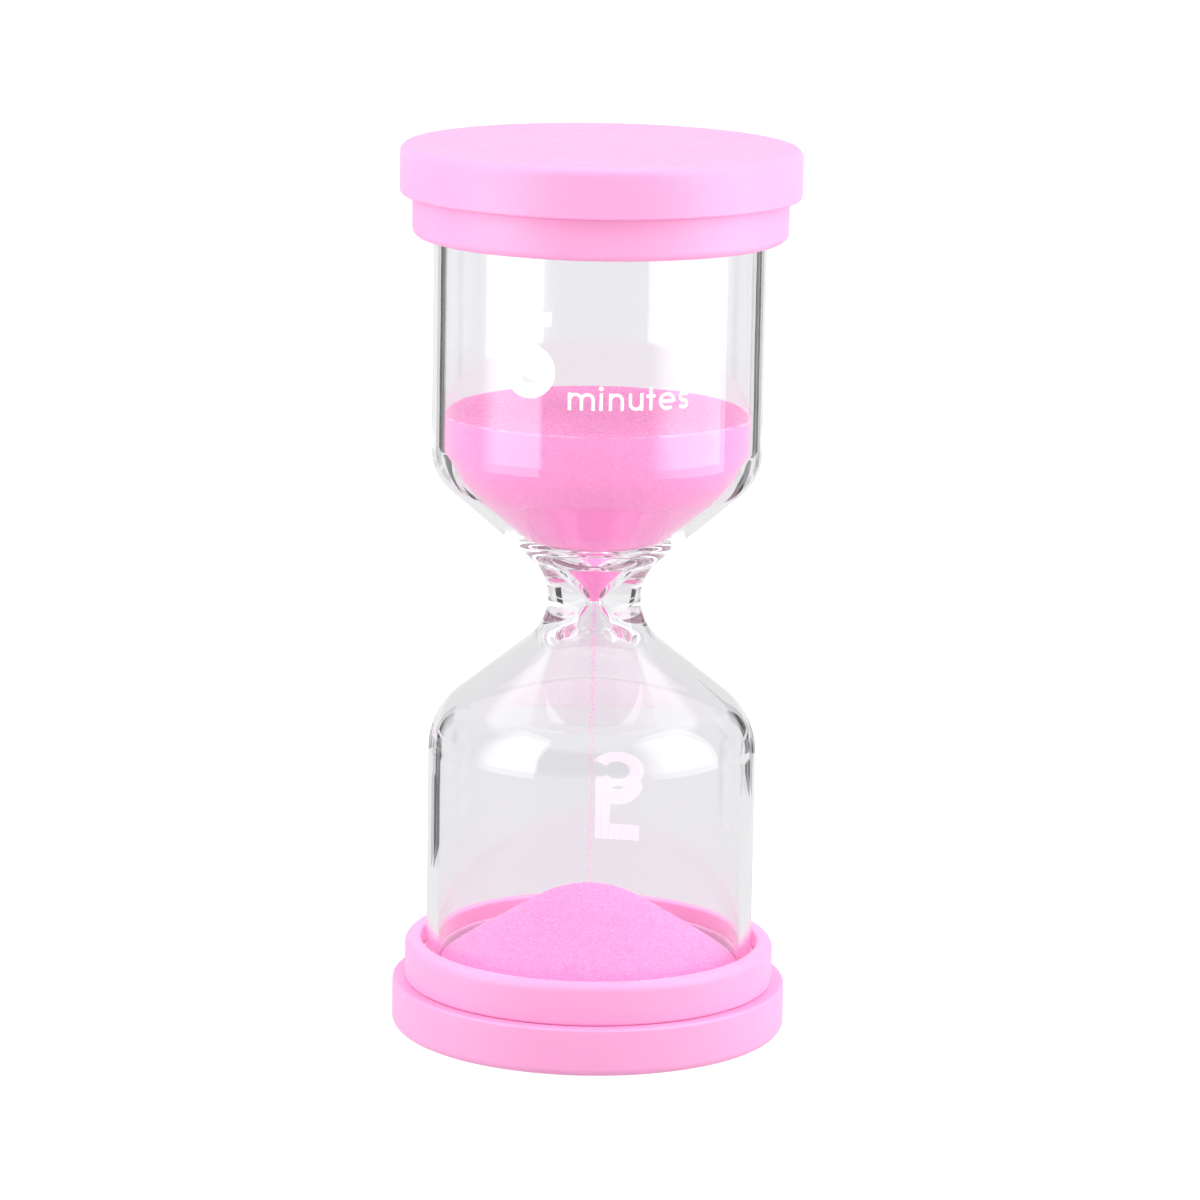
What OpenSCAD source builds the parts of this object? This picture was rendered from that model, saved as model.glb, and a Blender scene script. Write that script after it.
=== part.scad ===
// Five-minute sand timer: a blown glass bulb between two snap-together plastic caps.
// Frame: origin at the centre of the foot, +Z up, printed side of the upper chamber towards -Y.

/* [Caps] */
// Overall height over both covers
total_height = 100; // [96:1:110]
// Outer diameter of the covers
cover_diameter = 44.4; // [44:0.2:50]
// Height of the visible rim of a cover
cover_height = 5.4; // [5.2:0.1:6]
// Wall thickness of the covers
cover_wall = 2.2; // [1.8:0.1:2.4]
// Diameter of the collars, one step smaller than the covers
collar_diameter = 41.6; // [41.2:0.2:42.8]
// Height of the part of a collar that stands above its cover
collar_height = 4.7; // [4:0.1:6]
// Gap between glass and collar
collar_gap = 0.6; // [0.3:0.1:0.8]
// Rounding of the outer edges of covers and collars
edge_rounding = 0.9; // [0.4:0.1:1.2]
// Number of stiffening ribs inside each cover
rib_count = 8; // [4:1:12]

/* [Glass] */
// Outer diameter of the two chambers
glass_diameter = 36.8; // [35.6:0.2:37]
// Wall thickness of the chambers
glass_wall = 1.3; // [0.9:0.1:1.6]
// Outer diameter of the neck at its narrowest
neck_diameter = 10.4; // [9:0.2:14]
// Bore that meters the sand
orifice_diameter = 1.2; // [0.8:0.1:2.5]
// Height of the narrowest point of the neck
neck_height = 49.3; // [48:0.1:52]
// Slope of the outside of the upper chamber's cone, in degrees above the horizontal
upper_slope = 40.9; // [38:0.1:43]
// Slope of the outside of the lower chamber's cone
lower_slope = 38.7; // [36:0.1:41]
// Diameter of the filling hole in the upper end
filler_diameter = 7; // [5:0.5:9]

/* [Sand] */
// Height of the level surface of the sand left in the upper chamber
upper_level = 70.5; // [67:0.5:85]
// Height of the top of the heap in the lower chamber
heap_top = 16; // [15.5:0.1:18]
// Angle of repose of the sand
repose_angle = 31.5; // [28:0.5:32]
// Diameter of the falling stream where it lands
stream_diameter = 0.6; // [0.4:0.1:0.9]

/* [Print] */
// Height of the figure on the front of the upper chamber
front_figure_height = 9.5; // [8:0.1:11]
// Height of the figure on the back of the lower chamber
back_figure_height = 10.9; // [8:0.1:11]
// Turn of the front figure's middle from the front of the glass, in degrees
front_figure_turn = -25.7; // [-60:0.1:0]
// Turn of the back figure's middle from the back of the glass, in degrees
back_figure_turn = 9.4; // [0:0.1:30]

/* [Hidden] */

$fn = 96;
cover_colour = [0.99, 0.70, 0.89];
sand_colour = [0.97, 0.62, 0.82];

// Caps
cover_radius = cover_diameter / 2;
collar_radius = collar_diameter / 2;
glass_radius = glass_diameter / 2;
collar_bore_radius = glass_radius + collar_gap;
cover_bore_radius = cover_radius - cover_wall;
cover_floor = 1.6;
rib_height = 1.6;
rib_thickness = 1.2;
rib_ring_radius = 9;
rib_top = cover_floor + rib_height;
press_gap = 0.05;
skirt_radius = cover_bore_radius - press_gap;
skirt_clearance = 0.5;
skirt_bottom = cover_floor + skirt_clearance;
snap_height = 3.6;
snap_depth = 0.35;
snap_half_width = 0.6;
joint_rounding = 0.25;

// Pads, glue and stopper
pad_thickness = 2;
pad_inset = 0.6;                   // the pad is this much smaller than the glass, all round
pad_radius = glass_radius - pad_inset;
pad_hole_radius = 7;
glass_end = rib_top + pad_thickness;
glue_clearance = 0.02;
glue_height = 1.4;
glue_rise = 0.1;                   // from the end of the glass's rounding to the glue
plug_radius = filler_diameter / 2 - glue_clearance;
plug_head_overhang = 1.5;
plug_head_radius = plug_radius + plug_head_overhang;
plug_head_height = 1;
plug_stem = 2.4;
plug_taper = 0.5;
seal_width = 1;

// Glass
inner_radius = glass_radius - glass_wall;
end_thickness = 1.2;
end_outer_rounding = 1.6;
end_inner_rounding = 1;
glue_bottom = glass_end + end_outer_rounding + glue_rise;
neck_radius = neck_diameter / 2;
orifice_radius = orifice_diameter / 2;
upper_neck_curve = 5.9;
lower_neck_curve = 6.2;
upper_shoulder_curve = 5.7;
lower_shoulder_curve = 8;
upper_flatter = 0.5;               // the bore's cones are this much flatter than the outside's,
lower_flatter = 3;                 // so the glass thickens towards the neck
bore_shoulder_curve = 6;
throat_curve = 1.5;                // rounding of the orifice
throat_slope = 60;                 // steep walls on both sides of the orifice
upper_lip_curve = 1;               // rounding between throat and bowl, above the orifice
lower_lip_curve = 3;               // rounding between throat and cone, below the orifice
bowl_curve = 15;                   // round bottom of the upper hollow, centred on the axis
upper_reach = total_height - glass_end - neck_height;
lower_reach = neck_height - glass_end;

// Sand
sand_gap = 0.05;
heap_radius = inner_radius - sand_gap;
heap_crown = 12;                   // radius of the rounded top of the heap

// Print
ink = 0.06;
front_print_base = 74.5;           // foot of the front figure
back_print_base = 72.1;            // foot of the back figure, with the timer turned over
figure_width = 7.1;
word_drop = 1;                     // the word's foot lies this much below the figure's
word_height = 1.9;
word_stroke = 0.34;
word_width = 13.3;
word_turn = 36.8;                  // from the middle of the figure to the middle of the word
letter_starts = [0, 3.3, 4.3, 6.45, 8.4, 9.8, 12];
m_arch = 1.57;                     // widths of the letters' arches
n_arch = 1.6;
dot_rise = 0.5;                    // dot of the i above its stem
dot_radius = 0.25;
t_stem = 0.33;                     // the t's stem from the left end of its bar
t_rise = 0.6;
t_bar = 1;
s_middle = 0.65;
e_opening = 50;                    // angles that the round letters leave open
s_opening = 20;
figure_stroke = 0.165;             // shares of the figure's height: stroke and radius of the bowl
figure_bowl = 0.31;
stem_inset = 1.1;                  // the figure's stem and flag stop short of its full width
flag_inset = 0.5;
bowl_start = -150;                 // angles at which the figure's bowl starts and ends
bowl_end = 145;

// Spare length of shapes that only cut or cross others
margin = 1;

// ---- Helpers ----

// Places a part that is drawn at the bottom end at the top end.
module at_top() {
    translate([0, 0, total_height]) mirror([0, 0, 1]) children();
}

// Rectangle from (r0, z0) to (r1, z1) in a turned section.
module band(r0, z0, r1, z1) {
    translate([r0, z0]) square([r1 - r0, z1 - z0]);
}

// Band whose two outer corners are rounded by low and by high.
module rounded_band(r0, z0, r1, z1, low, high) {
    polygon([[r0, z0], [r1 - low, z0], [r1, z0 + low], [r1, z1 - high], [r1 - high, z1], [r0, z1]]);
    translate([r1 - low, z0 + low]) circle(low);
    translate([r1 - high, z1 - high]) circle(high);
}

// Ridge of the snap joint, half of it beyond the radius.
module snap_ridge(radius) {
    translate([radius, snap_height])
        polygon([[-snap_depth, 0], [0, -snap_half_width], [snap_depth, 0], [0, snap_half_width]]);
}

// Both ends of the straight cone between the neck arc and the shoulder arc of the glass's outside.
function cone_start(neck_curve, slope) =
    [neck_radius + neck_curve * (1 - sin(slope)), neck_curve * cos(slope)];
function cone_end(neck_curve, shoulder_curve, slope) =
    let (start = cone_start(neck_curve, slope),
         end_r = glass_radius - shoulder_curve * (1 - sin(slope)))
    [end_r, start[1] + tan(slope) * (end_r - start[0])];

// Half section of a chamber's outside from the neck, at z = 0, to its flat end, at z = reach:
// neck arc, straight cone, shoulder arc, cylinder and rounded corner, each tangent to the next.
module outside_section(neck_curve, shoulder_curve, slope, reach) {
    start = cone_start(neck_curve, slope);
    end = cone_end(neck_curve, shoulder_curve, slope);
    shoulder_r = glass_radius - shoulder_curve;
    shoulder_z = end[1] + shoulder_curve * cos(slope);
    corner = end_outer_rounding;
    difference() {
        union() {
            polygon([[0, 0], [neck_radius + neck_curve, 0], start, end, [shoulder_r, shoulder_z],
                     [glass_radius, shoulder_z], [glass_radius, reach - corner],
                     [glass_radius - corner, reach], [0, reach]]);
            translate([shoulder_r, shoulder_z]) circle(shoulder_curve);
            translate([glass_radius - corner, reach - corner]) circle(corner);
        }
        translate([neck_radius + neck_curve, 0]) circle(neck_curve);
    }
}

// Centre of the lip's rounding, tangent to the throat's wall and to the bowl's arc.
function lip_on_bowl(start, along, lip_curve, centre) =
    let (gap = start - centre, run_in = gap * along, reach = bowl_curve + lip_curve)
    start - along * (run_in + sqrt(run_in * run_in - gap * gap + reach * reach));

// Centre of the lip's rounding, tangent to the throat's wall and to a line along the cone.
function lip_on_cone(start, along, point, up) =
    let (gap = point - start)
    start + along * (gap[0] * up[1] - gap[1] * up[0]) / (along[0] * up[1] - along[1] * up[0]);

// Half section of a chamber's hollow from the orifice, at z = 0, to its flat end, at z = reach,
// smaller all round by shrink: throat, lip, bowl or not, cone, shoulder, cylinder and corner.
module bore_section(neck_curve, shoulder_curve, slope, flatter, lip_curve, bowl, reach, shrink) {
    lean = slope - flatter;
    on_cone = cone_end(neck_curve, shoulder_curve, slope) + glass_wall * [-sin(slope), cos(slope)];
    shoulder = [inner_radius - bore_shoulder_curve,
                on_cone[1] + tan(lean) * (inner_radius - bore_shoulder_curve - on_cone[0])
                + bore_shoulder_curve / cos(lean)];
    up = [cos(lean), sin(lean)];
    out = [sin(lean), -cos(lean)];
    along = [cos(throat_slope), sin(throat_slope)];
    aside = [sin(throat_slope), -cos(throat_slope)];
    throat_centre = [orifice_radius + throat_curve, 0];
    throat_start = throat_centre - throat_curve * aside;
    bowl_centre = [0, on_cone[1] - tan(lean) * on_cone[0] + bowl_curve / cos(lean)];
    lip = bowl
        ? lip_on_bowl(throat_start + lip_curve * aside, along, lip_curve, bowl_centre)
        : lip_on_cone(throat_start + lip_curve * aside, along, on_cone + lip_curve * out, up);
    lip_exit = bowl
        ? bowl_centre + (lip - bowl_centre) * (bowl_curve - shrink) / (bowl_curve + lip_curve)
        : lip - (lip_curve + shrink) * out;
    cone_low = bowl ? bowl_centre + (bowl_curve - shrink) * out : lip_exit;
    radius = inner_radius - shrink;
    corner = end_inner_rounding - shrink;
    corner_centre = [inner_radius - end_inner_rounding, reach - end_inner_rounding];
    difference() {
        union() {
            polygon([[0, 0], throat_centre, throat_start - shrink * aside,
                     lip - (lip_curve + shrink) * aside, lip, lip_exit, cone_low,
                     shoulder + (bore_shoulder_curve - shrink) * out, shoulder,
                     [radius, shoulder[1]], [radius, corner_centre[1]],
                     [corner_centre[0], corner_centre[1] + corner],
                     [0, corner_centre[1] + corner]]);
            translate(shoulder) circle(bore_shoulder_curve - shrink);
            translate(corner_centre) circle(corner);
            if (bowl) intersection() {
                translate(bowl_centre) circle(bowl_curve - shrink);
                band(0, 0, bowl_curve, reach);
            }
        }
        translate(throat_centre) circle(throat_curve + shrink);
        translate(lip) circle(lip_curve + shrink);
    }
}

// Hollow of the upper chamber, smaller all round by shrink.
module upper_bore_section(shrink = 0) {
    translate([0, neck_height])
        bore_section(upper_neck_curve, upper_shoulder_curve, upper_slope, upper_flatter,
                     upper_lip_curve, true, upper_reach - end_thickness, shrink);
}

// Hollow of the lower chamber, smaller all round by shrink.
module lower_bore_section(shrink = 0) {
    translate([0, neck_height]) mirror([0, 1])
        bore_section(lower_neck_curve, lower_shoulder_curve, lower_slope, lower_flatter,
                     lower_lip_curve, false, lower_reach - end_thickness, shrink);
}

// ---- Caps ----

// Disc-shaped cover with its flat face at z = 0, open towards the glass.
module cover() {
    rotate_extrude() difference() {
        rounded_band(0, 0, cover_radius, cover_height, edge_rounding, joint_rounding);
        band(0, cover_floor, cover_bore_radius, cover_height + margin);
        snap_ridge(cover_bore_radius);
    }
    cover_ribs();
}

// Ring and spokes that stiffen the cover and carry the pad.
module cover_ribs() {
    spoke_start = rib_ring_radius + rib_thickness / 2;
    rotate_extrude()
        band(rib_ring_radius, cover_floor, rib_ring_radius + rib_thickness, rib_top);
    for (i = [0 : rib_count - 1]) rotate([0, 0, i * 360 / rib_count])
        translate([spoke_start, -rib_thickness / 2, cover_floor])
            cube([pad_radius - spoke_start, rib_thickness, rib_height]);
}

// Stepped ring that stands on the cover, with a skirt that snaps into it.
module collar() {
    rotate_extrude() {
        rounded_band(collar_bore_radius, cover_height, collar_radius,
                     cover_height + collar_height, joint_rounding, edge_rounding);
        band(collar_bore_radius, skirt_bottom, skirt_radius, cover_height + joint_rounding);
        snap_ridge(skirt_radius);
    }
}

module bottom_cover() { color(cover_colour) cover(); }
module top_cover() { color(cover_colour) at_top() cover(); }
module bottom_collar() { color(cover_colour) collar(); }
module top_collar() { color(cover_colour) at_top() collar(); }

// ---- Pads, glue and stopper ----

module pad(hole_radius) {
    rotate_extrude() band(hole_radius, rib_top, pad_radius, glass_end);
}

module glue_ring() {
    rotate_extrude()
        band(glass_radius + glue_clearance, glue_bottom,
             collar_bore_radius - glue_clearance, glue_bottom + glue_height);
}

// Soft stopper: a head outside the glass and a stem through the filling hole.
module stopper() {
    rotate_extrude()
        polygon([[0, glass_end - plug_head_height], [plug_head_radius, glass_end - plug_head_height],
                 [plug_head_radius, glass_end], [plug_radius, glass_end],
                 [plug_radius, glass_end + end_thickness],
                 [plug_radius - plug_taper, glass_end + plug_stem], [0, glass_end + plug_stem]]);
}

// Fillet of glue round the stopper's head.
module seal() {
    rotate_extrude()
        polygon([[plug_head_radius, glass_end - plug_head_height],
                 [plug_head_radius + seal_width, glass_end], [plug_head_radius, glass_end]]);
}

module bottom_pad() { color("white") pad(0); }
module top_pad() { color("white") at_top() pad(pad_hole_radius); }
module bottom_glue_ring() { color("whitesmoke") glue_ring(); }
module top_glue_ring() { color("whitesmoke") at_top() glue_ring(); }
module filler_plug() { color("gainsboro") at_top() stopper(); }
module plug_seal() { color("ivory") at_top() seal(); }

// ---- Glass ----

module glass_bulb() {
    color([0.85, 0.88, 0.95, 0.35]) difference() {
        rotate_extrude() difference() {
            union() {
                translate([0, neck_height])
                    outside_section(upper_neck_curve, upper_shoulder_curve, upper_slope,
                                    upper_reach);
                translate([0, neck_height]) mirror([0, 1])
                    outside_section(lower_neck_curve, lower_shoulder_curve, lower_slope,
                                    lower_reach);
            }
            upper_bore_section();
            lower_bore_section();
        }
        at_top() translate([0, 0, glass_end - margin])
            cylinder(h = end_thickness + 2 * margin, d = filler_diameter);
    }
}

// ---- Sand ----

module sand_upper() {
    color(sand_colour) rotate_extrude() intersection() {
        upper_bore_section(sand_gap);
        band(0, neck_height, glass_radius, upper_level);
    }
}

// Cone at the angle of repose with a rounded crown, standing on the chamber's floor.
module sand_lower() {
    crown_z = heap_top - heap_crown;
    crown_edge = [heap_crown * sin(repose_angle), crown_z + heap_crown * cos(repose_angle)];
    foot_z = crown_edge[1] - (heap_radius - crown_edge[0]) * tan(repose_angle);
    color(sand_colour) rotate_extrude() intersection() {
        union() {
            polygon([[0, 0], [heap_radius, 0], [heap_radius, foot_z], crown_edge,
                     [0, crown_z]]);
            intersection() {
                translate([0, crown_z]) circle(heap_crown);
                polygon([[0, crown_z], crown_edge, [crown_edge[0], heap_top], [0, heap_top]]);
            }
        }
        lower_bore_section(sand_gap);
    }
}

module sand_stream() {
    color(sand_colour) translate([0, 0, heap_top])
        cylinder(h = neck_height - heap_top, r1 = stream_diameter / 2,
                 r2 = orifice_radius - 2 * sand_gap);
}

// ---- Print ----

// Straight stroke between two points, with square ends.
module stroke(from, to, width) {
    run = to - from;
    translate(from) rotate(atan2(run[1], run[0])) translate([0, -width / 2])
        square([norm(run), width]);
}

// Part of a ring between two angles.
module arc_stroke(centre, radius, start, end, width) {
    widest_step = 60;
    reach = 2 * radius + width;
    steps = ceil((end - start) / widest_step);
    translate(centre) intersection() {
        difference() {
            circle(radius + width / 2);
            circle(radius - width / 2);
        }
        polygon(concat([[0, 0]], [for (i = [0 : steps])
            let (a = start + (end - start) * i / steps) [reach * cos(a), reach * sin(a)]]));
    }
}

// Bold figure five, centred on x = 0 and standing on y = 0.
module figure_five(high) {
    width = figure_stroke * high;
    half = figure_width / 2;
    bowl = figure_bowl * high - width / 2;
    bowl_y = bowl + width / 2;
    stem_x = -half + stem_inset + width / 2;
    arc_stroke([half - bowl_y, bowl_y], bowl, bowl_start, bowl_end, width);
    stroke([stem_x, bowl_y + bowl / 2], [stem_x, high], width);
    stroke([stem_x - width / 2, high - width / 2], [half - flag_inset, high - width / 2], width);
}

// Upright stroke of a letter.
module upright(x, high) {
    stroke([x + word_stroke / 2, 0], [x + word_stroke / 2, high], word_stroke);
}

// Round arch with a leg at its right end.
module arch(x, width) {
    radius = (width - word_stroke) / 2;
    arc_stroke([x + width / 2, word_height - width / 2], radius, 0, 180, word_stroke);
    upright(x + width - word_stroke, word_height - width / 2);
}

module letter_m() {
    upright(0, word_height);
    arch(0, m_arch);
    arch(m_arch - word_stroke, m_arch);
}

module letter_i() {
    upright(0, word_height);
    translate([word_stroke / 2, word_height + dot_rise]) circle(dot_radius);
}

module letter_n() {
    upright(0, word_height);
    arch(0, n_arch);
}

module letter_u() {
    translate([n_arch, word_height]) rotate(180) letter_n();
}

module letter_t() {
    upright(t_stem, word_height + t_rise);
    stroke([0, word_height - word_stroke], [t_bar, word_height - word_stroke], word_stroke);
}

module letter_e() {
    middle = word_height / 2;
    radius = middle - word_stroke / 2;
    arc_stroke([middle, middle], radius, 0, 360 - e_opening, word_stroke);
    stroke([middle - radius, middle], [middle + radius, middle], word_stroke);
}

module letter_s() {
    radius = (word_height - word_stroke) / 4;
    arc_stroke([s_middle, word_height - radius - word_stroke / 2], radius,
               s_opening, 270, word_stroke);
    arc_stroke([s_middle, radius + word_stroke / 2], radius, s_opening - 180, 90, word_stroke);
}

// The word, centred on x = 0.
module word() {
    translate([-word_width / 2, 0]) {
        translate([letter_starts[0], 0]) letter_m();
        translate([letter_starts[1], 0]) letter_i();
        translate([letter_starts[2], 0]) letter_n();
        translate([letter_starts[3], 0]) letter_u();
        translate([letter_starts[4], 0]) letter_t();
        translate([letter_starts[5], 0]) letter_e();
        translate([letter_starts[6], 0]) letter_s();
    }
}

// Lays a flat drawing on the glass as a thin skin of ink, turned from the front by an angle.
module inked(turn, base, tall) {
    rotate([0, 0, turn]) intersection() {
        rotate_extrude()
            band(glass_radius, base - margin, glass_radius + ink, base + tall + margin);
        translate([0, 0, base]) rotate([90, 0, 0])
            linear_extrude(glass_radius + margin) children();
    }
}

// Figure and word side by side.
module front_print() {
    color("white") {
        inked(front_figure_turn, front_print_base, front_figure_height)
            figure_five(front_figure_height);
        inked(front_figure_turn + word_turn, front_print_base - word_drop, word_height + t_rise)
            word();
    }
}

// The figure alone, for the other way up: turned over about the left-right axis.
module back_print() {
    color("white") translate([0, 0, total_height]) rotate([180, 0, 0])
        inked(back_figure_turn, back_print_base, back_figure_height)
            figure_five(back_figure_height);
}

bottom_cover();
bottom_collar();
bottom_pad();
bottom_glue_ring();
glass_bulb();
sand_upper();
sand_stream();
sand_lower();
filler_plug();
plug_seal();
top_glue_ring();
top_pad();
top_collar();
top_cover();
front_print();
back_print();
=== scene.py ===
import math
import random

import bpy
import bmesh
from mathutils import Matrix, Vector, noise


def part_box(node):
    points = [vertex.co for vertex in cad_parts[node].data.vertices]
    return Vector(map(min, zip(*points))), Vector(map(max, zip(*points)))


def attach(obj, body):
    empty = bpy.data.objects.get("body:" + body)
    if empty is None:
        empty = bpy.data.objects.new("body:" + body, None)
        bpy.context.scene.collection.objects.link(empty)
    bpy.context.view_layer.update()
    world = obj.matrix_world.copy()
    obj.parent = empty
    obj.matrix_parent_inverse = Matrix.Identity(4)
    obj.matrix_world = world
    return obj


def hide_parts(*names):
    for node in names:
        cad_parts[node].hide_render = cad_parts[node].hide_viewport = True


# A five-minute sand timer. Lengths in this script are in millimetres until build_mesh().

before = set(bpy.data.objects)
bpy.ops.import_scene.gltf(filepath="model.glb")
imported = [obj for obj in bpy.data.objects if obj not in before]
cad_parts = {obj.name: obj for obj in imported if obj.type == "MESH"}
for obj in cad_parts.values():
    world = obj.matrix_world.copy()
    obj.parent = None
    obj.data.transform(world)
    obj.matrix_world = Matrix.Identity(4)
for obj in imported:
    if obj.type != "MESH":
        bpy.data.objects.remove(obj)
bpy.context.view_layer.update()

MM = 0.001
BODY = "root"
SEGMENTS = 224


def box_mm(node):
    """Lowest and highest corner of a CAD node, in millimetres."""
    low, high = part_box(node)
    return low / MM, high / MM


# ---- Sizes, from the frame and from the glass's own profile ----

TOTAL = box_mm("top_cover")[1].z
COVER_R = box_mm("bottom_cover")[1].x
COVER_H = box_mm("bottom_cover")[1].z
COLLAR_R = box_mm("bottom_collar")[1].x
COLLAR_TOP = box_mm("bottom_collar")[1].z
SKIRT_BOTTOM = box_mm("bottom_collar")[0].z
GLASS_R = box_mm("glass_bulb")[1].x
GLASS_BOTTOM = box_mm("glass_bulb")[0].z
GLASS_TOP = box_mm("glass_bulb")[1].z
SAND_LEVEL = box_mm("sand_upper")[1].z
HEAP_TOP = box_mm("sand_lower")[1].z
NECK_Z = box_mm("sand_upper")[0].z
PAD_R = box_mm("bottom_pad")[1].x
PAD_LOW = box_mm("bottom_pad")[0].z
PAD_HOLE = 7.0
PLUG_HEAD_R = box_mm("filler_plug")[1].x
PLUG_TIP = box_mm("filler_plug")[0].z
PLUG_TOP = box_mm("filler_plug")[1].z
SEAL_R = box_mm("plug_seal")[1].x

# Caps
COVER_WALL = 2.2
COVER_FLOOR = 1.6
COLLAR_BORE = GLASS_R + 0.6
SKIRT_R = COVER_R - COVER_WALL - 0.05
EDGE = 0.9                       # rounding of the outer edges of the caps
JOINT_EDGE = 0.3                 # rounding of the edges that meet at the step
RIBS = 8
RIB_RING = 9.0
RIB_THICK = 1.2
RIB_ROOT = COVER_FLOOR - 0.1     # the ribs start a little inside the floor of the cover

# Glass
WALL = 1.3
END_THICK = 1.2
END_CORNER, BORE_CORNER = 1.6, 1.0
HOLE_EDGE = 0.3
NECK_R = 5.2
ORIFICE_R = 0.6
HOLE_R = 3.5
UPPER_SLOPE = 40.9
LOWER_SLOPE = 38.7
UPPER_NECK_CURVE, LOWER_NECK_CURVE = 5.9, 6.2
UPPER_SHOULDER, LOWER_SHOULDER = 5.7, 8.0
UPPER_FLATTER, LOWER_FLATTER = 0.5, 3.0
BORE_SHOULDER = 6.0
BOWL = 15.0
THROAT_SLOPE = 60
THROAT_CURVE = 1.5
UPPER_LIP, LOWER_LIP = 1.0, 3.0

# Sand
SAND_GAP = 0.06
REPOSE = 31.5
CROWN = 12.0
GRAINS = 15000
GRAIN_REACH = GLASS_R - WALL - 0.3
PAINTED_RIM_HIGHLIGHT = (1.0, 0.78, 0.93, 1)  # painted highlight: a paler pink where the level sand meets the glass

# Soft pieces
STOPPER_EDGE = 0.25
STEM_R = HOLE_R - 0.02
STEM_TAPER = 0.5
TIP_EDGE = 0.2
GLUE_GAP = 0.02


# ---- Studio, in metres ----

# Brightness of the floor close to the timer, lower there as painted shade, and from half a metre on.
GLOW_NEAR, GLOW_FAR = 0.56, 0.66
GLOW_START, GLOW_END = 0.05, 0.5
# Brightness of the softboxes, their distance and height, and the part of their width that fades.
SOFTBOX, SOFTBOX_AWAY, SOFTBOX_TALL, SOFTBOX_FADE = 2.6, 0.28, 0.45, 0.4
# Brightness of the room before the timer, of the sweep behind it and of the dome overhead.
FRONT, BACK, DOME = 0.03, 0.8, 1.05
# Height of a direction, on a scale of 1 straight up, over which the dome sets in.
DOME_START, DOME_END = 0.62, 0.72
BACKDROP = 0.98
FLOOR_R = 4
FLOOR_DROP = 0.00005
LENS, SENSOR = 158.39, 36
EYE = (0, -0.57856, 0.16849)
PITCH, ROLL, YAW = (math.radians(angle) for angle in (11.676, 0.994, 0.063))


# ---- Outlines ----

def line(start, end, inner=0):
    """Straight run with a holding point close to each end, so that smooth shading stays crisp."""
    (r0, z0), (r1, z1) = start, end
    length = math.hypot(r1 - r0, z1 - z0)
    hold = min(0.08, length / 4) / length
    steps = [0, hold] + [hold + (1 - 2 * hold) * i / (inner + 1) for i in range(1, inner + 1)]
    return [(r0 + (r1 - r0) * t, z0 + (z1 - z0) * t) for t in steps + [1 - hold, 1]]


def arc(centre, radius, start, end, steps):
    """Points on a circle between two angles in degrees."""
    turns = [math.radians(start + (end - start) * i / steps) for i in range(steps + 1)]
    return [(centre[0] + radius * math.cos(a), centre[1] + radius * math.sin(a)) for a in turns]


def cone_ends(radius, throat, throat_curve, shoulder, slope):
    """Both ends of the straight cone between a chamber's neck arc and its shoulder arc."""
    lean = math.radians(slope)
    start = (throat + throat_curve * (1 - math.sin(lean)), throat_curve * math.cos(lean))
    end_r = radius - shoulder * (1 - math.sin(lean))
    return start, (end_r, start[1] + math.tan(lean) * (end_r - start[0]))


def chamber(neck_curve, shoulder, slope, reach):
    """Half section of the outside of a chamber from the neck, at z = 0, to its flat end, at z = reach."""
    cone_start, cone_end = cone_ends(GLASS_R, NECK_R, neck_curve, shoulder, slope)
    shoulder_z = cone_end[1] + shoulder * math.cos(math.radians(slope))
    return (arc((NECK_R + neck_curve, 0), neck_curve, 180, 90 + slope, 20)
            + line(cone_start, cone_end, 10)
            + arc((GLASS_R - shoulder, shoulder_z), shoulder, slope - 90, 0, 20)
            + line((GLASS_R, shoulder_z), (GLASS_R, reach - END_CORNER), 14)
            + arc((GLASS_R - END_CORNER, reach - END_CORNER), END_CORNER, 0, 90, 8))


def upper_outside():
    points = chamber(UPPER_NECK_CURVE, UPPER_SHOULDER, UPPER_SLOPE, GLASS_TOP - NECK_Z)
    return [(r, NECK_Z + z) for r, z in points]


def lower_outside():
    points = chamber(LOWER_NECK_CURVE, LOWER_SHOULDER, LOWER_SLOPE, NECK_Z - GLASS_BOTTOM)
    return [(r, NECK_Z - z) for r, z in points]


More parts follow.
